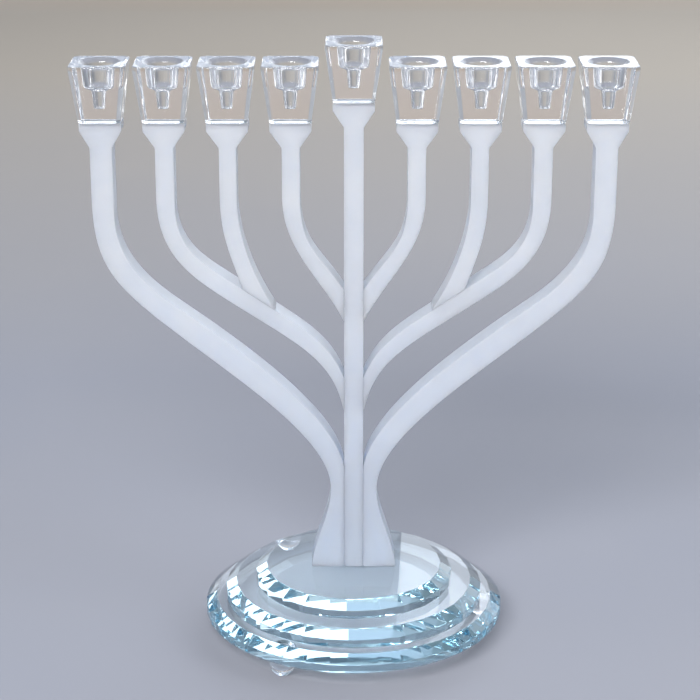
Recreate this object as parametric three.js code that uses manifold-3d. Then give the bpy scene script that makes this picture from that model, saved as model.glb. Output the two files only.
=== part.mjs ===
// Nine-light crystal menorah: three faceted glass discs on domed feet, a frosted
// plate-glass stem with eight frosted plate-glass arms, and nine pressed-crystal
// candle cups. Millimetres, +Z up, origin on the ground under the stem's axis.
// The front faces -Y. Neighbouring pieces are bonded, and each bond line is an
// open gap of `bond`.

import * as THREE from 'three';
import { mergeVertices } from 'three/addons/utils/BufferGeometryUtils.js';
import Module from 'manifold-3d';

// ---------------------------------------------------------------- dimensions

const bond = 0.3;                 // adhesive line between two bonded pieces

const footHeight = 14;            // ground to the underside of the lowest disc
const footRadius = 9;
const footFlatRadius = 3;         // small flat that each dome stands on
const footDomeHeight = 9.5;
const footRing = 90;              // radius of the circle the feet stand on
const footAngles = { foot_right: 0, foot_back_left: 122, foot_front_left: 238 };

const discStep = 11;              // height of one base disc with its bond line
const bevelWidth = 7.5;           // bevel seen from above
const bevelDrop = 5;              // bevel seen from the side
const discs = [
  { name: 'base_disc_lower', radius: 103, facets: 40 },
  { name: 'base_disc_middle', radius: 89, facets: 32 },
  { name: 'base_disc_upper', radius: 68, facets: 24 },
];

const plateThickness = 19;        // frosted plate that stem and arms are cut from
const cupPitch = 41;              // spacing of the candle cups along X
const baseTop = footHeight + discs.length * discStep;
const plateFoot = baseTop + bond; // underside of the stem and the outer arms
const rowTop = 361.5;             // top of the eight side heads
const stemRise = 13.5;            // the stem's head stands this much higher
const headWidth = 27;             // head that carries a cup
const headLip = 5.5;              // upright edge of a head
const headTaper = 11;             // height over which a head narrows to its arm
const stemWidth = 12.6;
const stemSide = stemWidth / 2 + bond; // where arms bonded to the stem begin

const cupHeight = 38.2;
const cupTopWidth = 37;
const cupBottomWidth = 27;
const cupRimBand = 2.5;           // upright band below the rim, above the taper
const cupCornerTop = 3.2;         // cut corner's leg at the rim
const cupCornerBottom = 2.4;      // and at the underside
const cupEdge = 0.8;              // small chamfer around rim and underside
const seatFloor = 9.2;            // candle seat floor above the cup's underside
const seatFloorRadius = 3.7;
const seatMouthRadius = 4.8;
const wellFloor = 22.4;           // shoulder between candle seat and oil well
const wellFloorRadius = 10;
const wellMouthRadius = 11;
const wellCorner = 2.4;           // round between the well's wall and shoulder
const shoulderDrop = 1.2;         // the shoulder falls this far to the candle seat
const flareRadius = 13.2;         // the well flares out to the rim
const flareDepth = 2.6;
const cutOverrun = 1;             // how far a cutting solid runs past a face

const boreSides = 32;             // facets of each cup's turned bore
const footSides = 24;
const footDomeSteps = 6;
const curveSteps = 14;            // facets along each curve of a plate outline

// ----------------------------------------------------------------- materials

function clearGlass() {
  return new THREE.MeshStandardMaterial({
    color: 0xe4eef0, roughness: 0.03, metalness: 0, transparent: true, opacity: 0.4,
  });
}

function edgeTintedGlass() {
  return new THREE.MeshStandardMaterial({
    color: 0xcfe4e2, roughness: 0.03, metalness: 0, transparent: true, opacity: 0.45,
  });
}

function frostedGlass() {
  return new THREE.MeshStandardMaterial({ color: 0xe3eaf4, roughness: 0.6, metalness: 0 });
}

// ------------------------------------------------------------ solid helpers

const wasm = await Module();
wasm.setup();

function toManifold(geometry) {
  const bare = geometry.index ? geometry.toNonIndexed() : geometry.clone();
  bare.deleteAttribute('normal');
  bare.deleteAttribute('uv');
  const merged = mergeVertices(bare, 1e-4);
  return new wasm.Manifold(new wasm.Mesh({
    numProp: 3,
    vertProperties: new Float32Array(merged.attributes.position.array),
    triVerts: new Uint32Array(merged.index.array),
  }));
}

function toGeometry(solid) {
  const mesh = solid.getMesh();
  const geometry = new THREE.BufferGeometry();
  geometry.setAttribute('position', new THREE.BufferAttribute(mesh.vertProperties, 3));
  geometry.setIndex(new THREE.BufferAttribute(mesh.triVerts, 1));
  geometry.computeVertexNormals();
  return geometry;
}

// A profile of [radius, height] pairs turned about +Z.
function turned(profile, segments) {
  const points = profile.map(([radius, height]) => new THREE.Vector2(radius, height));
  return new THREE.LatheGeometry(points, segments).rotateX(Math.PI / 2);
}

function addMesh(group, name, geometry, material) {
  const mesh = new THREE.Mesh(geometry, material);
  mesh.name = name;
  group.add(mesh);
  return mesh;
}

// ----------------------------------------------------------------- the base

// Straight-walled disc with a wide flat-faceted bevel around its top.
function discGeometry({ radius, facets }) {
  const thickness = discStep - bond;
  return turned([
    [0, 0],
    [radius, 0],
    [radius, thickness - bevelDrop],
    [radius - bevelWidth, thickness],
    [0, thickness],
  ], facets);
}

// Short post that rounds off below into a dome with a small standing flat.
function footGeometry() {
  const profile = [[0, 0]];
  for (let i = 0; i <= footDomeSteps; i += 1) {
    const angle = (i / footDomeSteps) * Math.PI / 2;
    profile.push([
      footFlatRadius + (footRadius - footFlatRadius) * Math.sin(angle),
      footDomeHeight * (1 - Math.cos(angle)),
    ]);
  }
  profile.push([footRadius, footHeight - bond], [0, footHeight - bond]);
  return turned(profile, footSides);
}

function makeBase() {
  const base = new THREE.Group();
  discs.forEach((disc, level) => {
    const mesh = addMesh(base, disc.name, discGeometry(disc), edgeTintedGlass());
    mesh.position.z = footHeight + level * discStep;
  });
  for (const [name, degrees] of Object.entries(footAngles)) {
    const angle = THREE.MathUtils.degToRad(degrees);
    const foot = addMesh(base, name, footGeometry(), clearGlass());
    foot.position.set(footRing * Math.cos(angle), footRing * Math.sin(angle), 0);
  }
  return base;
}

// --------------------------------------------------------- stem and arms
//
// Outlines lie in the XZ plane, drawn for the side where X is positive. Each one
// starts at the inner end of its head, goes over the head, down the outside, and
// back up the inside.

function startAtHead(x, width, top) {
  const shape = new THREE.Shape();
  shape.moveTo(x - width / 2, top - headLip - headTaper);
  shape.lineTo(x - headWidth / 2, top - headLip);
  shape.lineTo(x - headWidth / 2, top);
  shape.lineTo(x + headWidth / 2, top);
  shape.lineTo(x + headWidth / 2, top - headLip);
  shape.lineTo(x + width / 2, top - headLip - headTaper);
  return shape;
}

function stemShape() {
  const shape = startAtHead(0, stemWidth, rowTop + stemRise);
  shape.lineTo(stemWidth / 2, plateFoot);
  shape.lineTo(-stemWidth / 2, plateFoot);
  return shape;
}

// Leaves the head, sweeps in to the stem, runs down beside it and flares to a foot.
function outerArmShape() {
  const x = 4 * cupPitch;
  const width = 14.2;
  const outside = x + width / 2;
  const inside = x - width / 2;
  const waist = 15.5;             // distance of the narrowest point from the axis
  const footReach = 29;
  const shape = startAtHead(x, width, rowTop);
  shape.lineTo(outside, 311);
  shape.bezierCurveTo(outside, 264, 158, 251, 117.7, 218);
  shape.bezierCurveTo(76.5, 184, waist, 142, waist, 106);
  shape.bezierCurveTo(waist, 86, 26.5, 70, footReach, plateFoot);
  shape.lineTo(stemSide, plateFoot);
  shape.lineTo(stemSide, 119);
  shape.bezierCurveTo(8.7, 155, 70.5, 202.5, 113.9, 234);
  shape.bezierCurveTo(132, 247, inside, 266, inside, 300);
  return shape;
}

// Sweeps in to the stem and ends in a point against it.
function secondArmShape() {
  const x = 3 * cupPitch;
  const width = 11.8;
  const outside = x + width / 2;
  const inside = x - width / 2;
  const shape = startAtHead(x, width, rowTop);
  shape.lineTo(outside, 311);
  shape.bezierCurveTo(outside, 273, 107.8, 258, 84.9, 242.4);
  shape.bezierCurveTo(37.6, 210.4, 14.7, 201.5, stemSide, 163);
  shape.lineTo(stemSide, 186.7);
  shape.bezierCurveTo(18, 214.7, 34, 221.3, 80.9, 253.8);
  shape.bezierCurveTo(97.3, 265.2, inside, 275.2, inside, 306);
  return shape;
}

// Stands on the second arm's back; its lower end is left long, to be cut there.
function branchArmShape() {
  const x = 2 * cupPitch;
  const width = 11;
  const outside = x + width / 2;
  const inside = x - width / 2;
  const shape = startAtHead(x, width, rowTop);
  shape.lineTo(outside, 313);
  shape.bezierCurveTo(outside, 283.7, 80.6, 272.2, 73.3, 248);
  shape.lineTo(70.6, 239);
  shape.lineTo(47.3, 227.4);
  shape.lineTo(51.3, 233.4);
  shape.bezierCurveTo(63.2, 251.4, inside, 280.8, inside, 310);
  return shape;
}

// Sweeps in to the stem high up and ends in a point against it.
function innerArmShape() {
  const x = cupPitch;
  const width = 11.5;
  const outside = x + width / 2;
  const inside = x - width / 2;
  const shape = startAtHead(x, width, rowTop);
  shape.lineTo(outside, 312);
  shape.bezierCurveTo(outside, 275.8, 21.7, 257.8, stemSide, 226.7);
  shape.lineTo(stemSide, 248.6);
  shape.bezierCurveTo(24.7, 275.6, inside, 278.7, inside, 312);
  return shape;
}

// Cuts an outline from the plate, standing upright and centred on Y = 0.
function plate(shape) {
  const geometry = new THREE.ExtrudeGeometry(shape, {
    depth: plateThickness, bevelEnabled: false, curveSegments: curveSteps,
  });
  return geometry.translate(0, 0, -plateThickness / 2).rotateX(Math.PI / 2);
}

// The branch arm ends on the second arm's back, one bond line clear of it.
function branchArmGeometry() {
  const clearance = 1.3 * bond;   // upward shift that gives one bond line on the slope
  const arm = toManifold(plate(branchArmShape()));
  const seat = toManifold(plate(secondArmShape()).translate(0, 0, clearance));
  return toGeometry(arm.subtract(seat));
}

// The same piece turned half round about the stem's axis.
function opposite(geometry) {
  return geometry.clone().rotateZ(Math.PI);
}

function makeFrame() {
  const frame = new THREE.Group();
  addMesh(frame, 'center_stem', plate(stemShape()), frostedGlass());
  const arms = {
    arm_outer: plate(outerArmShape()),
    arm_second: plate(secondArmShape()),
    arm_branch: branchArmGeometry(),
    arm_inner: plate(innerArmShape()),
  };
  for (const [name, geometry] of Object.entries(arms)) {
    addMesh(frame, `${name}_right`, geometry, frostedGlass());
    addMesh(frame, `${name}_left`, opposite(geometry), frostedGlass());
  }
  return frame;
}

// --------------------------------------------------------------- candle cups

// Four-sided solid about +Z with its flats square to X and Y; profile values are
// half widths.
function squareSolid(profile) {
  const corners = profile.map(([half, height]) => [half * Math.SQRT2, height]);
  return toManifold(turned(corners, 4).rotateZ(Math.PI / 4));
}

// Square crystal cup, wider at the rim, with cut corners, holding an oil well above
// a tapered candle seat.
function cupGeometry() {
  const top = cupTopWidth / 2;
  const bottom = cupBottomWidth / 2;
  const taperTop = cupHeight - cupRimBand;
  const body = squareSolid([
    [0, 0],
    [bottom - cupEdge, 0],
    [bottom, cupEdge],
    [top, taperTop],
    [top, cupHeight - cupEdge],
    [top - cupEdge, cupHeight],
    [0, cupHeight],
  ]);
  const corners = toManifold(turned([
    [0, -cutOverrun],
    [2 * bottom - cupCornerBottom, -cutOverrun],
    [2 * top - cupCornerTop, taperTop],
    [2 * top - cupCornerTop, cupHeight + cutOverrun],
    [0, cupHeight + cutOverrun],
  ], 4));
  const arcInset = (1 - Math.SQRT1_2) * wellCorner;  // of a quarter arc's middle point
  const bore = [
    [0, seatFloor],
    [seatFloorRadius, seatFloor],
    [seatMouthRadius, wellFloor - shoulderDrop],
    [wellFloorRadius - wellCorner, wellFloor],
    [wellFloorRadius - arcInset, wellFloor + arcInset],
    [wellFloorRadius, wellFloor + wellCorner],
    [wellMouthRadius, cupHeight - flareDepth],
    [flareRadius, cupHeight],
    [flareRadius, cupHeight + cutOverrun],
    [0, cupHeight + cutOverrun],
  ];
  const cut = toManifold(turned(bore, boreSides));
  return toGeometry(body.intersect(corners).subtract(cut));
}

function makeCups() {
  const cups = new THREE.Group();
  const geometry = cupGeometry();
  const names = { '-1': 'candle_cup_left', 0: 'shamash_cup', 1: 'candle_cup_right' };
  for (let place = -4; place <= 4; place += 1) {
    const name = place === 0 ? names[0] : `${names[Math.sign(place)]}_${Math.abs(place)}`;
    const rise = place === 0 ? stemRise : 0;
    const cup = addMesh(cups, name, geometry.clone(), clearGlass());
    cup.position.set(place * cupPitch, 0, rowTop + rise + bond);
  }
  return cups;
}

// ------------------------------------------------------------------ assembly

const menorah = new THREE.Group();
menorah.add(makeBase(), makeFrame(), makeCups());

export default menorah;
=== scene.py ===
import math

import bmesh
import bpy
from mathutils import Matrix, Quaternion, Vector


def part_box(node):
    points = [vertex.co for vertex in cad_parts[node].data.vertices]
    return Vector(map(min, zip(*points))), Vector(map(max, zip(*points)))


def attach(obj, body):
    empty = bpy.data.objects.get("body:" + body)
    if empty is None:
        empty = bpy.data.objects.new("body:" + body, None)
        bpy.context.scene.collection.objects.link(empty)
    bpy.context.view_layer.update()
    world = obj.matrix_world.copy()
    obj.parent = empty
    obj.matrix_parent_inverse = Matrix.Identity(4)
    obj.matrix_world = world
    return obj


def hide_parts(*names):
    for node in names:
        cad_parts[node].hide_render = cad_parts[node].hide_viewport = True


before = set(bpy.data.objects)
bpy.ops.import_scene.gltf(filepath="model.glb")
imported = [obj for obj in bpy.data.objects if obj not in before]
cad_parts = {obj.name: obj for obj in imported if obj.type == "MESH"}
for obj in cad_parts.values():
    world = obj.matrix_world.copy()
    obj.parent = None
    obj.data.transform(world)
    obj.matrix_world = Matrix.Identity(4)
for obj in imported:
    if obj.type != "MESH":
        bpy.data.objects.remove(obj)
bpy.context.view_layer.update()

# Nine-light crystal menorah: a frosted plate-glass stem with eight frosted plate-glass
# arms, nine pressed-crystal candle cups, and three faceted glass discs on domed feet.
# Metres, +Z up, the front faces -Y. Every glass piece is built here as a fine mesh in
# the place of its CAD node.

MM = 0.001
BODY = "root"

# ------------------------------------------------------------------ dimensions

ON_FACE = 0.01 * MM          # a CAD point this near to a plane lies in it
SAME_POINT = 0.0001 * MM     # rings that meet at a thin tip are joined there
EDGE_STEPS = 3               # steps round a softened edge of a cup or foot

ARRIS = 0.35 * MM            # ground edge of the frosted plates
ARRIS_STEPS = 3
ARRIS_SHARE = 0.3            # most of a plate's width that a ground edge takes
BOND_FILL = 0.12 * MM        # the adhesive fills this much of the joint at each plate
LIP_ROUND = 1.6 * MM         # softened convex corners of a plate outline
HOLLOW_ROUND = 3.0 * MM      # softened inward corners
ROUND_STEPS = 4
ROUND_SHARE = 0.4            # most of a side that a softened corner takes
CURVE_STEP = 1.6 * MM        # spacing of the points along a plate outline
STRAIGHT_TURN = math.radians(0.05)
CORNER_TURN = math.radians(18)
TIP_TURN = math.radians(120)
LONG_SIDE = 3                # a side this many times its neighbour's length is straight
PLATE_CREASE = 40            # degrees, as are the other creases

BEVEL_WIDTH = 7.5 * MM       # polished bevel around each disc, seen from above
BEVEL_DROP = 5 * MM
DISC_ARRIS = 0.22 * MM
DISC_ARRIS_SEGMENTS = 2
FACET_TURN = math.radians(4)     # edges between facets turn by more than this

CUP_CORNER_TOP = 3.2 * MM    # leg of the cut corner at the rim
CUP_CORNER_BOTTOM = 2.4 * MM
CUP_TAPER = 5 * MM           # each side leans out this much from underside to rim
CUP_BAND = 2.5 * MM          # upright band below the rim
CUP_SOFT = 0.45 * MM         # softening of the cup's long edges
CUP_EDGE = 0.8 * MM          # rounding of rim and underside, and of a foot's edge
CUP_SIDE_STEPS = 18
CUP_CORNER_STEPS = 2
CUP_CREASE = 40
SEAT_FLOOR = 9.2 * MM        # heights above the cup's underside
WELL_FLOOR = 22.4 * MM
SHOULDER_DROP = 1.2 * MM
SHOULDER_LIP = 0.15 * MM
SEAT_FLOOR_RADIUS = 3.7 * MM
SEAT_MOUTH_RADIUS = 4.8 * MM
WELL_FLOOR_RADIUS = 10 * MM
WELL_MOUTH_RADIUS = 11 * MM
WELL_CORNER = 2.4 * MM
WELL_CORNER_ARC = (-15, -80, 5)  # first and last angle in degrees, and steps
FLARE_RADIUS = 13.2 * MM
FLARE_DEPTH = 2.6 * MM
WELL_START = 0.8 * MM        # the well's wall starts this far below the flare
FLARE_ARC = (90, 150, 2)
BORE_ROUND = 0.6 * MM        # rounding of the flare's mouth and of the seat's floor
BORE_SOFT = 0.5 * MM         # softening of the edges of well and seat

FOOT_FLAT = 3 * MM
FOOT_DOME = 9.5 * MM
FOOT_DOME_STEPS = 14
FOOT_SIDES = 64
FOOT_CREASE = 35

GLASS_IOR = 1.52
SATIN_IOR = 1.5
BOND_IOR = 1.003             # adhesive against glass
BOND_MARGIN = 1 * MM         # the adhesive stops short of each disc's edge

# ---------------------------------------------------------------- mesh helpers


def lofted_mesh(name, rings):
    """Closed mesh through rings of equally many points, capped at both ends. Rings
    that run together at a point are joined there."""
    size = len(rings[0])
    points = [point for ring in rings for point in ring]
    faces = [tuple(reversed(range(size)))]
    for level in range(len(rings) - 1):
        low = level * size
        high = low + size
        for i in range(size):
            j = (i + 1) % size
            faces.append((low + i, low + j, high + j, high + i))
    faces.append(tuple(range(len(points) - size, len(points))))
    mesh = bpy.data.meshes.new(name)
    mesh.from_pydata(points, [], faces)
    merged = bmesh.new()
    merged.from_mesh(mesh)
    bmesh.ops.remove_doubles(merged, verts=merged.verts, dist=SAME_POINT)
    merged.to_mesh(mesh)
    merged.free()
    return mesh


def add_piece(node, mesh, material):
    """Puts a mesh in the scene as the piece that stands for a CAD node."""
    piece = bpy.data.objects.new(node + "_glass", mesh)
    bpy.context.scene.collection.objects.link(piece)
    mesh.materials.append(material)
    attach(piece, BODY)
    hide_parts(node)
    return piece


def smooth_polygons(mesh):
    mesh.polygons.foreach_set("use_smooth", [True] * len(mesh.polygons))


def shade_smooth(piece, crease):
    """Smooth shading that keeps edges above the crease angle crisp and large faces
    flat."""
    smooth_polygons(piece.data)
    piece.data.set_sharp_from_angle(angle=math.radians(crease))
    normals = piece.modifiers.new("flat_faces", "WEIGHTED_NORMAL")
    normals.keep_sharp = True
    normals.weight = 90


def arc(centre_radius, centre_height, size, start, end, steps):
    """Points of a profile's round corner, from one angle in degrees to another."""
    points = []
    for i in range(steps + 1):
        angle = math.radians(start + (end - start) * i / steps)
        points.append((centre_radius + size * math.cos(angle),
                       centre_height + size * math.sin(angle)))
    return points


def circle_ring(centre, radius, height, angles):
    return [(centre.x + radius * math.cos(a), centre.y + radius * math.sin(a), height)
            for a in angles]


def even_angles(count, first=0.0):
    return [first + math.tau * i / count for i in range(count)]


# ------------------------------------------------------- frosted stem and arms


def front_outline(node):
    """Corner points (x, z) around the front face of a plate, in order."""
    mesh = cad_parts[node].data
    front = min(v.co.y for v in mesh.vertices)
    onward = {}
    for polygon in mesh.polygons:
        corners = [mesh.vertices[i].co for i in polygon.vertices]
        if any(abs(c.y - front) > ON_FACE for c in corners):
            continue
        keys = [(round(c.x, 6), round(c.z, 6)) for c in corners]
        for a, b in zip(keys, keys[1:] + keys[:1]):
            if onward.get(b) and a in onward[b]:
                onward[b].remove(a)
            else:
                onward.setdefault(a, []).append(b)
    start = min(a for a in onward if onward[a])
    loop = [start]
    while onward[loop[-1]][0] != start:
        loop.append(onward[loop[-1]][0])
    return drop_straight_points([Vector(p) for p in loop])


def turn_at(before, point, after):
    """Signed turning angle of a path at a point; positive to the left."""
    into = point - before
    out = after - point
    return math.atan2(into.x * out.y - into.y * out.x, into.dot(out))


def neighbours(points):
    """Each point of a closed path with the one before it and the one after."""
    return zip(points[-1:] + points[:-1], points, points[1:] + points[:1])


def drop_straight_points(points):
    return [p for a, p, b in neighbours(points) if abs(turn_at(a, p, b)) > STRAIGHT_TURN]


def rounded_corners(points, counterclockwise):
    """Replaces each corner that isn't a thin tip by a short curve, and says of each
    point whether it is a thin tip."""
    rounded = []
    for before, point, after in neighbours(points):
        turn = turn_at(before, point, after)
        if not CORNER_TURN < abs(turn) < TIP_TURN:
            rounded.append((point, abs(turn) >= TIP_TURN))
            continue
        outward = (turn > 0) == counterclockwise
        reach = (LIP_ROUND if outward else HOLLOW_ROUND) * math.tan(abs(turn) / 2)
        reach = min(reach, ROUND_SHARE * (before - point).length,
                    ROUND_SHARE * (after - point).length)
        start = point + (before - point).normalized() * reach
        end = point + (after - point).normalized() * reach
        for step in range(ROUND_STEPS + 1):
            share = step / ROUND_STEPS
            curve = start.lerp(point, share).lerp(point.lerp(end, share), share)
            rounded.append((curve, False))
    return rounded


def tangents_at(before, after, tip):
    """Directions in which the outline arrives at a point and leaves it, from the
    sides before and after it."""
    if tip:
        return before.normalized(), after.normalized()
    if before.length / after.length > LONG_SIDE:
        direction = before
    elif before.length / after.length < 1 / LONG_SIDE:
        direction = after
    else:
        direction = before / before.length_squared + after / after.length_squared
    return (direction.normalized(),) * 2


def smooth_outline(node):
    """The plate's outline with evenly spaced points along its curves, and for each
    point whether it is a thin tip."""
    points = front_outline(node)
    area = sum(a.x * p.y - a.y * p.x for a, p, b in neighbours(points))
    marked = rounded_corners(points, area > 0)
    plain = [p for p, tip in marked]
    tips = [tip for p, tip in marked]
    tangents = [tangents_at(point - before, after - point, tip)
                for (before, point, after), tip in zip(neighbours(plain), tips)]
    fine = []
    for i in range(len(plain)):
        j = (i + 1) % len(plain)
        span = (plain[j] - plain[i]).length
        leaving = tangents[i][1] * span
        arriving = tangents[j][0] * span
        steps = max(1, round(span / CURVE_STEP))
        if turn_at(plain[i] - leaving, plain[i], plain[j]) == 0:
            steps = 1
        for k in range(steps):
            t = k / steps
            point = ((2 * t**3 - 3 * t**2 + 1) * plain[i] + (t**3 - 2 * t**2 + t) * leaving
                     + (3 * t**2 - 2 * t**3) * plain[j] + (t**3 - t**2) * arriving)
            fine.append((point, tips[i] and k == 0))
    if area < 0:
        fine.reverse()
    return fine


def plate_width_at(points, index, inward):
    """How wide the plate is at an outline point, measured straight across it."""
    parallel, touching, slack = 1e-12, 1e-7, 1e-6
    origin = points[index]
    nearest = math.inf
    count = len(points)
    for i in range(count):
        j = (i + 1) % count
        if index in (i, j):
            continue
        a = points[i] - origin
        edge = points[j] - points[i]
        cross = inward.x * edge.y - inward.y * edge.x
        if abs(cross) < parallel:
            continue
        distance = (a.x * edge.y - a.y * edge.x) / cross
        along = (a.x * inward.y - a.y * inward.x) / cross
        if distance > touching and -slack <= along <= 1 + slack:
            nearest = min(nearest, distance)
    return nearest


def inset_vectors(outline):
    """The outline's points, and for each the move that insets it by one ground edge;
    it fades out where the plate runs to a thin tip."""
    sharpest = 0.3
    points = [p for p, tip in outline]
    moves = []
    for index, (before, point, after) in enumerate(neighbours(points)):
        into = (point - before).normalized()
        out = (after - point).normalized()
        inward = Vector((-into.y - out.y, into.x + out.x)).normalized()
        half_cosine = max(sharpest, math.cos(turn_at(before, point, after) / 2))
        width = plate_width_at(points, index, inward)
        size = min(ARRIS, ARRIS_SHARE * width) / half_cosine
        moves.append(Vector((0, 0)) if outline[index][1] else inward * size)
    return points, moves


def plate_rings(node):
    """Rings from the back face's edge, round both ground edges, to the front's."""
    points, moves = inset_vectors(smooth_outline(node))
    low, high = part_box(node)
    rings = []
    for side, y_face in ((1, high.y), (-1, low.y)):
        angles = range(ARRIS_STEPS + 1)
        for step in (angles if side > 0 else reversed(angles)):
            angle = math.pi / 2 * step / ARRIS_STEPS
            share = 1 - math.sin(angle) - BOND_FILL / ARRIS
            depth = ARRIS * (1 - math.cos(angle))
            ring = []
            for point, move in zip(points, moves):
                x, z = point + move * share
                fade = min(1.0, move.length / ARRIS)
                ring.append((x, y_face - side * depth * fade, z))
            rings.append(ring)
    return rings


def make_plate(node, material):
    mesh = lofted_mesh(node + "_glass", plate_rings(node))
    piece = add_piece(node, mesh, material)
    shade_smooth(piece, PLATE_CREASE)


# ------------------------------------------------------------ faceted glass base


def node_facets(node):
    """How many sides a faceted disc has, and the angle of its first corner."""
    low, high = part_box(node)
    centre = (low + high) / 2
    half_radius = (high.x - low.x) / 4
    corners = set()
    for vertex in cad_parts[node].data.vertices:
        if abs(vertex.co.z - low.z) < ON_FACE:
            offset = (vertex.co - centre).to_2d()
            if offset.length > half_radius:
                corners.add(round(math.degrees(math.atan2(offset.y, offset.x)), 1) % 360)
    return len(corners), math.radians(min(corners))


def make_disc(node, material):
    low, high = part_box(node)
    centre = (low + high) / 2
    facets, first = node_facets(node)
    angles = even_angles(facets, first)
    radius = (high.y - low.y) / 2
    profile = [
        (radius, low.z),
        (radius, high.z - BEVEL_DROP),
        (radius - BEVEL_WIDTH, high.z),
    ]
    rings = [circle_ring(centre, r, z, angles) for r, z in profile]
    piece = add_piece(node, lofted_mesh(node + "_glass", rings), material)
    arris = piece.modifiers.new("ground_edges", "BEVEL")
    arris.width = DISC_ARRIS
    arris.segments = DISC_ARRIS_SEGMENTS
    arris.limit_method = "ANGLE"
    arris.angle_limit = FACET_TURN


def make_foot(node, material):
    low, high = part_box(node)
    centre = (low + high) / 2
    radius = (high.x - low.x) / 2
    profile = []
    for i in range(FOOT_DOME_STEPS + 1):
        angle = math.pi / 2 * i / FOOT_DOME_STEPS
        profile.append((FOOT_FLAT + (radius - FOOT_FLAT) * math.sin(angle),
                        low.z + FOOT_DOME * (1 - math.cos(angle))))
    profile += arc(radius - CUP_EDGE, high.z - CUP_EDGE, CUP_EDGE, 0, 90, EDGE_STEPS)
    angles = even_angles(FOOT_SIDES)
    rings = [circle_ring(centre, r, z, angles) for r, z in profile]
    piece = add_piece(node, lofted_mesh(node + "_glass", rings), material)
    shade_smooth(piece, FOOT_CREASE)


# ------------------------------------------------------------- crystal candle cups


def square_ring(centre, half, leg, height):
    """Square outline with cut and softened corners."""
    near = half - leg
    corners = []
    for cosine, sine in ((1, 0), (0, 1), (-1, 0), (0, -1)):
        for x, y in ((half, -near), (half, near)):
            corners.append(Vector((x * cosine - y * sine, x * sine + y * cosine)))
    ring = []
    for before, corner, after in neighbours(corners):
        start = corner + (before - corner).normalized() * CUP_SOFT
        end = corner + (after - corner).normalized() * CUP_SOFT
        ring += [start, (start + end + 2 * corner) / 4, end]
        stop = after + (corner - after).normalized() * CUP_SOFT
        long = (after - corner).length > 2 * leg
        steps = CUP_SIDE_STEPS if long else CUP_CORNER_STEPS
        ring += [end.lerp(stop, k / steps) for k in range(1, steps)]
    return [(centre.x + p.x, centre.y + p.y, height) for p in ring]


def cup_rings(low, high):
    """Rings from the underside, up the outside, over the rim and down the stepped
    bore to the floor of the candle seat."""
    centre = (low + high) / 2
    bottom = low.z
    top = high.z
    half = (high.x - low.x) / 2
    taper_height = top - CUP_BAND - bottom

    def outer(inset, height):
        share = min(1.0, (height - bottom) / taper_height)
        leg = CUP_CORNER_BOTTOM + (CUP_CORNER_TOP - CUP_CORNER_BOTTOM) * share
        reach = half - CUP_TAPER * (1 - share) - inset
        return square_ring(centre, reach, leg, height)

    outside = arc(CUP_EDGE, bottom + CUP_EDGE, CUP_EDGE, 270, 180, EDGE_STEPS)
    outside += [(0, top - CUP_BAND - CUP_EDGE), (0, top - CUP_BAND)]
    outside += arc(CUP_EDGE, top - CUP_EDGE, CUP_EDGE, 180, 90, EDGE_STEPS)
    rings = [outer(inset, height) for inset, height in outside]

    flare_foot = top - FLARE_DEPTH
    well_floor = bottom + WELL_FLOOR
    seat_mouth = well_floor - SHOULDER_DROP
    seat_floor = bottom + SEAT_FLOOR
    bore = arc(FLARE_RADIUS + BORE_ROUND, top - BORE_ROUND, BORE_ROUND, *FLARE_ARC)
    bore += [
        (WELL_MOUTH_RADIUS + BORE_SOFT, flare_foot + BORE_ROUND),
        (WELL_MOUTH_RADIUS, flare_foot - WELL_START),
        (WELL_FLOOR_RADIUS, well_floor + WELL_CORNER),
    ]
    bore += arc(WELL_FLOOR_RADIUS - WELL_CORNER, well_floor + WELL_CORNER, WELL_CORNER,
                *WELL_CORNER_ARC)
    bore += [
        (SEAT_MOUTH_RADIUS + BORE_SOFT, seat_mouth + SHOULDER_LIP),
        (SEAT_MOUTH_RADIUS, seat_mouth - BORE_SOFT),
    ]
    bore += arc(SEAT_FLOOR_RADIUS - BORE_ROUND, seat_floor + BORE_ROUND, BORE_ROUND,
                0, -90, EDGE_STEPS)
    angles = [math.atan2(y - centre.y, x - centre.x) for x, y, z in rings[-1]]
    return rings + [circle_ring(centre, r, z, angles) for r, z in bore]


def make_cup(node, material):
    mesh = lofted_mesh(node + "_glass", cup_rings(*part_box(node)))
    piece = add_piece(node, mesh, material)
    shade_smooth(piece, CUP_CREASE)


# ------------------------------------------------------------------- materials
# Colours are linear red, green and blue. Noise scales are in cells per metre.


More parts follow.
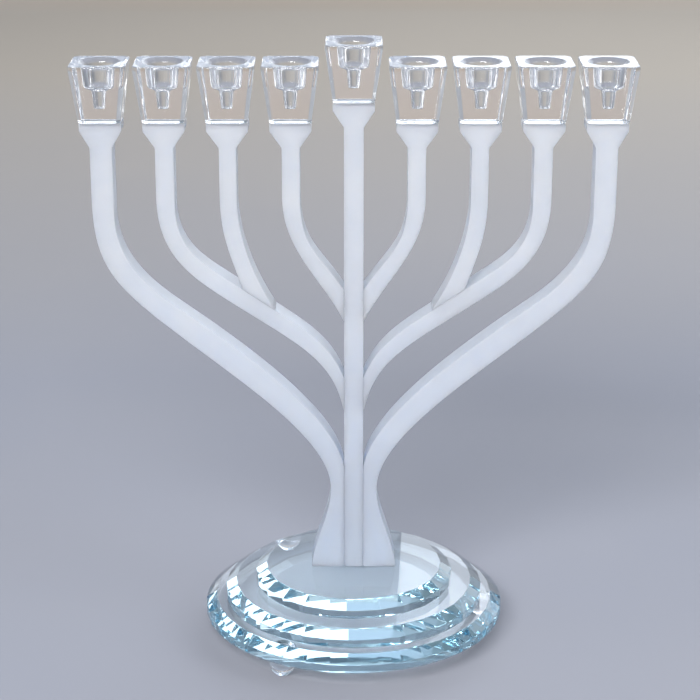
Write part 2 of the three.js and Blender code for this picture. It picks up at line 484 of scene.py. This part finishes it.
class Nodes:
    """Short hand for building a node tree."""

    def __init__(self, owner, coordinates):
        owner.use_nodes = True
        self.tree = owner.node_tree
        self.place = self.tree.nodes.new("ShaderNodeTexCoord").outputs[coordinates]

    def give(self, socket, value):
        """Links a socket to another node's output, or sets its constant."""
        if isinstance(value, bpy.types.NodeSocket):
            self.tree.links.new(value, socket)
        else:
            socket.default_value = value

    def give_all(self, node, inputs):
        for name, value in inputs.items():
            self.give(node.inputs[name.replace("_", " ")], value)

    def add(self, kind, **inputs):
        node = self.tree.nodes.new("ShaderNode" + kind)
        self.give_all(node, inputs)
        return node

    def axes(self):
        return self.add("SeparateXYZ", Vector=self.place).outputs

    def ranged(self, value, low, high, to_low=0, to_high=1):
        node = self.add("MapRange", Value=value, From_Min=low, From_Max=high,
                        To_Min=to_low, To_Max=to_high)
        return node.outputs["Result"]

    def tinted(self, factor, first, second):
        """Mixes two colours; either may be another node's output."""
        node = self.tree.nodes.new("ShaderNodeMix")
        node.data_type = "RGBA"
        self.give(node.inputs["Factor"], factor)
        for socket, colour in ((node.inputs[6], first), (node.inputs[7], second)):
            self.give(socket, (*colour, 1) if isinstance(colour, tuple) else colour)
        return node.outputs[2]

    def maths(self, operation, *values):
        node = self.tree.nodes.new("ShaderNodeMath")
        node.operation = operation
        for socket, value in zip(node.inputs, values):
            self.give(socket, value)
        return node.outputs["Value"]


class MaterialNodes(Nodes):
    """A new material, its shader, and short hand for its textures."""

    def __init__(self, name):
        self.material = bpy.data.materials.new(name)
        super().__init__(self.material, "Object")
        self.shader = self.tree.nodes["Principled BSDF"]

    def set(self, **inputs):
        self.give_all(self.shader, inputs)

    def noise(self, scale, detail, place=None):
        node = self.add("TexNoise", Vector=place or self.place, Scale=scale,
                        Detail=detail, Roughness=0.55)
        return node.outputs["Fac"]

    def radius(self, axes):
        squares = [self.maths("MULTIPLY", axes[a], axes[a]) for a in "XY"]
        return self.maths("POWER", self.maths("ADD", *squares), 0.5)

    def bump(self, height, strength, distance):
        node = self.add("Bump", Height=height, Strength=strength, Distance=distance)
        self.set(Normal=node.outputs["Normal"])


def frosted_glass():
    """Acid-satin surface: milky, with faint cloudiness and fine grain, and bluer low
    down, where shade and a sky reflection are painted."""
    dense_milk, thin_milk = (0.88, 0.90, 0.94), (0.82, 0.85, 0.90)
    painted_low_shade_sky = (0.77, 0.83, 0.955)
    m = MaterialNodes("frosted_glass")
    cloud = m.noise(38, detail=3)
    grain = m.noise(2600, detail=2)
    milk = m.tinted(m.ranged(cloud, 0.35, 0.65), thin_milk, dense_milk)
    unevenness = m.maths("ADD", cloud, m.maths("MULTIPLY", grain, 0.4))
    # Painted shade and sky reflection: the plates turn bluer towards the bottom.
    m.set(
        Base_Color=m.tinted(m.ranged(m.axes()["Z"], 0.03, 0.26), painted_low_shade_sky, milk),
        Roughness=m.ranged(unevenness, 0.5, 0.9, 0.38, 0.60),
        IOR=SATIN_IOR,
        Subsurface_Weight=1.0,
        Subsurface_Radius=(0.9, 0.95, 1.0),
        Subsurface_Scale=8 * MM,
        Transmission_Weight=0.6,
    )
    m.bump(grain, 0.25, 0.05 * MM)
    return m.material


def polished_glass(name, smear_scale, wave_scale, waviness, colour, density):
    """Clear polished glass that tints light on its way through, with faint smears
    and hair scratches in its polish and a slow waviness."""
    m = MaterialNodes(name)
    stretched = m.add("Mapping", Vector=m.place, Scale=(1, 28, 14),
                      Rotation=(0.3, 0.5, 0.7))
    hair = m.noise(60, detail=2, place=stretched.outputs["Vector"])
    scratch = m.ranged(hair, 0.66, 0.72, 0, 0.05)
    smear = m.ranged(m.noise(smear_scale, detail=5), 0.5, 0.75, 0.0, 0.045)
    m.set(
        Base_Color=(1, 1, 1, 1),
        Roughness=m.maths("ADD", smear, scratch),
        IOR=GLASS_IOR,
        Transmission_Weight=1.0,
    )
    m.bump(m.noise(wave_scale, detail=1), waviness, 0.15 * MM)
    absorption = m.add("VolumeAbsorption", Color=(*colour, 1), Density=density)
    m.give(m.tree.nodes["Material Output"].inputs["Volume"], absorption.outputs["Volume"])
    return m


def bond(m, area):
    """Where the adhesive joins two pieces, light passes straight from one into the
    other; area is 1 there and 0 elsewhere."""
    m.set(IOR=m.ranged(area, 0, 1, GLASS_IOR, BOND_IOR))


def crystal_glass():
    m = polished_glass("cup_crystal", smear_scale=90, wave_scale=110, waviness=0.3,
                       colour=(0.95, 0.97, 0.98), density=2)
    normal = m.add("NewGeometry").outputs["True Normal"]
    upward = m.add("SeparateXYZ", Vector=normal).outputs["Z"]
    low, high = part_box("center_stem")
    over_head = m.maths("COMPARE", m.axes()["Y"], 0, (high.y - low.y) / 2)
    underside = m.maths("LESS_THAN", upward, -0.99)
    bond(m, m.maths("MULTIPLY", over_head, underside))
    return m.material


def base_disc_glass():
    m = polished_glass("base_glass", smear_scale=35, wave_scale=25, waviness=0.12,
                       colour=(0.60, 0.85, 0.93), density=6)
    axes = m.axes()
    radius = m.radius(axes)
    discs = ("base_disc_lower", "base_disc_middle", "base_disc_upper")
    area = 0.0
    for under, over in zip(discs, discs[1:]):
        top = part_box(under)[1].z
        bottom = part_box(over)[0].z
        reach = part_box(over)[1].y * math.cos(math.pi / node_facets(over)[0]) - BOND_MARGIN
        level = m.maths("COMPARE", axes["Z"], (top + bottom) / 2, bottom - top)
        joined = m.maths("MULTIPLY", level, m.maths("LESS_THAN", radius, reach))
        area = m.maths("ADD", area, joined)
    bond(m, area)
    return m.material


def foot_dome_glass():
    return polished_glass("foot_glass", smear_scale=120, wave_scale=60, waviness=0.12,
                          colour=(0.80, 0.83, 0.95), density=8).material


def studio_paper():
    """Matte paper with a faint mottle: cool in front, warmer towards the back and
    brown at the bend, cool higher up, grey to the sides and pale far out; paler
    under the glass base, which is painted light in place of light through the glass."""
    cool, warm = (0.31, 0.323, 0.375), (0.45, 0.41, 0.36)
    brown, grey, high_cool = (0.44, 0.33, 0.235), (0.24, 0.25, 0.27), (0.42, 0.45, 0.50)
    far_pale, painted_light_under_base = (0.80, 0.81, 0.83), (0.76, 0.80, 0.88)
    m = MaterialNodes("studio_paper")
    axes = m.axes()
    radius = m.radius(axes)
    mottle = m.maths("MULTIPLY", m.noise(3, detail=4), 0.2)
    paper = m.tinted(m.maths("ADD", m.ranged(axes["Y"], 0.5, 2.0), mottle), cool, warm)
    for distance, start, end, colour in (
        (axes["Y"], 2.35, 2.7, brown),
        (m.maths("ABSOLUTE", axes["X"]), 0.75, 1.6, grey),
        (axes["Z"], 0.3, 0.45, high_cool),
        (radius, 2.4, 4.0, far_pale),
    ):
        paper = m.tinted(m.ranged(distance, start, end), paper, colour)
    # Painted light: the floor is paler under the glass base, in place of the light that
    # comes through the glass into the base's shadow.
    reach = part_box("base_disc_lower")[1].y
    under_base_light = m.ranged(radius, 0.62 * reach, 0.9 * reach)
    m.set(Base_Color=m.tinted(under_base_light, painted_light_under_base, paper), Roughness=0.9,
          Specular_IOR_Level=0.15)
    m.bump(m.noise(240, detail=3), 0.08, 0.3 * MM)
    return m.material


# ---------------------------------------------------------------- stage and light


def make_stage():
    """Pale floor that sweeps up into a plain backdrop."""
    width, front, back, rise, bend, bend_steps = 8.0, -8.0, 3.2, 1.0, 0.8, 16
    curve = arc(back - bend, bend, bend, 270, 360, bend_steps)
    path = [(front, 0.0), *curve, (back, rise)]
    points = []
    for y, z in path:
        points += [(-width, y, z), (width, y, z)]
    faces = [(2 * i, 2 * i + 1, 2 * i + 3, 2 * i + 2) for i in range(len(path) - 1)]
    mesh = bpy.data.meshes.new("studio_sweep")
    mesh.from_pydata(points, [], faces)
    smooth_polygons(mesh)
    mesh.materials.append(studio_paper())
    sweep = bpy.data.objects.new("studio_sweep", mesh)
    bpy.context.scene.collection.objects.link(sweep)


def add_softbox(name, place, size, watts, colour, target=(0, 0, 0.2), roll=0):
    data = bpy.data.lights.new(name, "AREA")
    data.shape = "RECTANGLE"
    data.size, data.size_y = size
    data.energy = watts
    data.color = colour
    lamp = bpy.data.objects.new(name, data)
    lamp.location = place
    aim = (Vector(target) - Vector(place)).to_track_quat("-Z", "Y")
    lamp.rotation_euler = (aim @ Quaternion((0, 0, 1), math.radians(roll))).to_euler()
    lamp.visible_camera = False
    bpy.context.scene.collection.objects.link(lamp)


def make_light():
    """Soft boxes; the key stands too high to be mirrored in the backs of the cups."""
    add_softbox("key_softbox", place=(-0.6, -2.15, 1.85), size=(1.8, 0.85),
                watts=92, colour=(0.98, 0.985, 1))
    add_softbox("side_softbox", place=(1.9, -0.8, 1.1), size=(1.0, 1.2),
                watts=12, colour=(0.95, 0.97, 1))
    add_softbox("window_softbox", place=(1.24, 2.1, 1.35), size=(2.6, 1.5),
                watts=22, colour=(0.90, 0.95, 1), roll=10)
    add_softbox("skylight_softbox", place=(0.6, 1.0, 2.4), size=(2.2, 1.5),
                watts=8, colour=(0.93, 0.96, 1))
    add_softbox("backdrop_softbox", place=(0, 1.3, 2.0), size=(2.6, 0.5),
                watts=10, colour=(1, 0.94, 0.87), target=(0, 3.0, 0.1))


def make_world():
    """Grey room, darker overhead and near the floor, with a pale wall of daylight
    behind the object and to its right."""
    overhead, room_grey = (0.20, 0.23, 0.27), (0.36, 0.39, 0.45)
    low_grey, dim_wall = (0.26, 0.275, 0.31), (0.22, 0.29, 0.33)
    daylight = (0.80, 0.90, 1.08)
    world = bpy.data.worlds.new("studio")
    bpy.context.scene.world = world
    w = Nodes(world, "Generated")
    axes = w.axes()
    room = w.tinted(w.ranged(axes["Z"], 0.45, 0.95), room_grey, overhead)
    room = w.tinted(w.ranged(axes["Z"], 0.0, 0.3), low_grey, room)
    wall = w.tinted(w.ranged(axes["Z"], 0.55, 0.75), daylight, overhead)
    wall = w.tinted(w.ranged(axes["X"], -0.35, -0.12), dim_wall, wall)
    sky = w.tinted(w.ranged(axes["Y"], 0.55, 0.85), room, wall)
    w.give(w.tree.nodes["Background"].inputs["Color"], sky)


def make_camera():
    """Long lens, a little above the cups and looking down at the base."""
    camera = bpy.data.cameras.new("camera")
    camera.sensor_width = 36
    camera.lens = 109.2
    eye = bpy.data.objects.new("camera", camera)
    eye.location = (-2.5 * MM, -1.349, 0.679)
    down_tilt = 19.43
    eye.rotation_euler = (math.radians(90 - down_tilt), 0, 0)
    bpy.context.scene.collection.objects.link(eye)
    bpy.context.scene.camera = eye


def set_light_paths():
    """Enough bounces for light that is reflected many times inside the glass; with
    fewer, some facets go black."""
    bounces = 100
    scene = bpy.context.scene
    scene.cycles.max_bounces = bounces
    scene.cycles.transmission_bounces = bounces
    scene.cycles.glossy_bounces = bounces
    scene.cycles.transparent_max_bounces = 16
    scene.view_settings.view_transform = "Standard"


# -------------------------------------------------------------------- assembly

make_camera()
frosted = frosted_glass()
crystal = crystal_glass()
base_glass = base_disc_glass()
foot_glass = foot_dome_glass()

for node in sorted(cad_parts):
    if node == "center_stem" or node.startswith("arm_"):
        make_plate(node, frosted)
    elif node.startswith("base_disc"):
        make_disc(node, base_glass)
    elif node.startswith("foot_"):
        make_foot(node, foot_glass)
    else:
        make_cup(node, crystal)

make_stage()
make_light()
make_world()
set_light_paths()
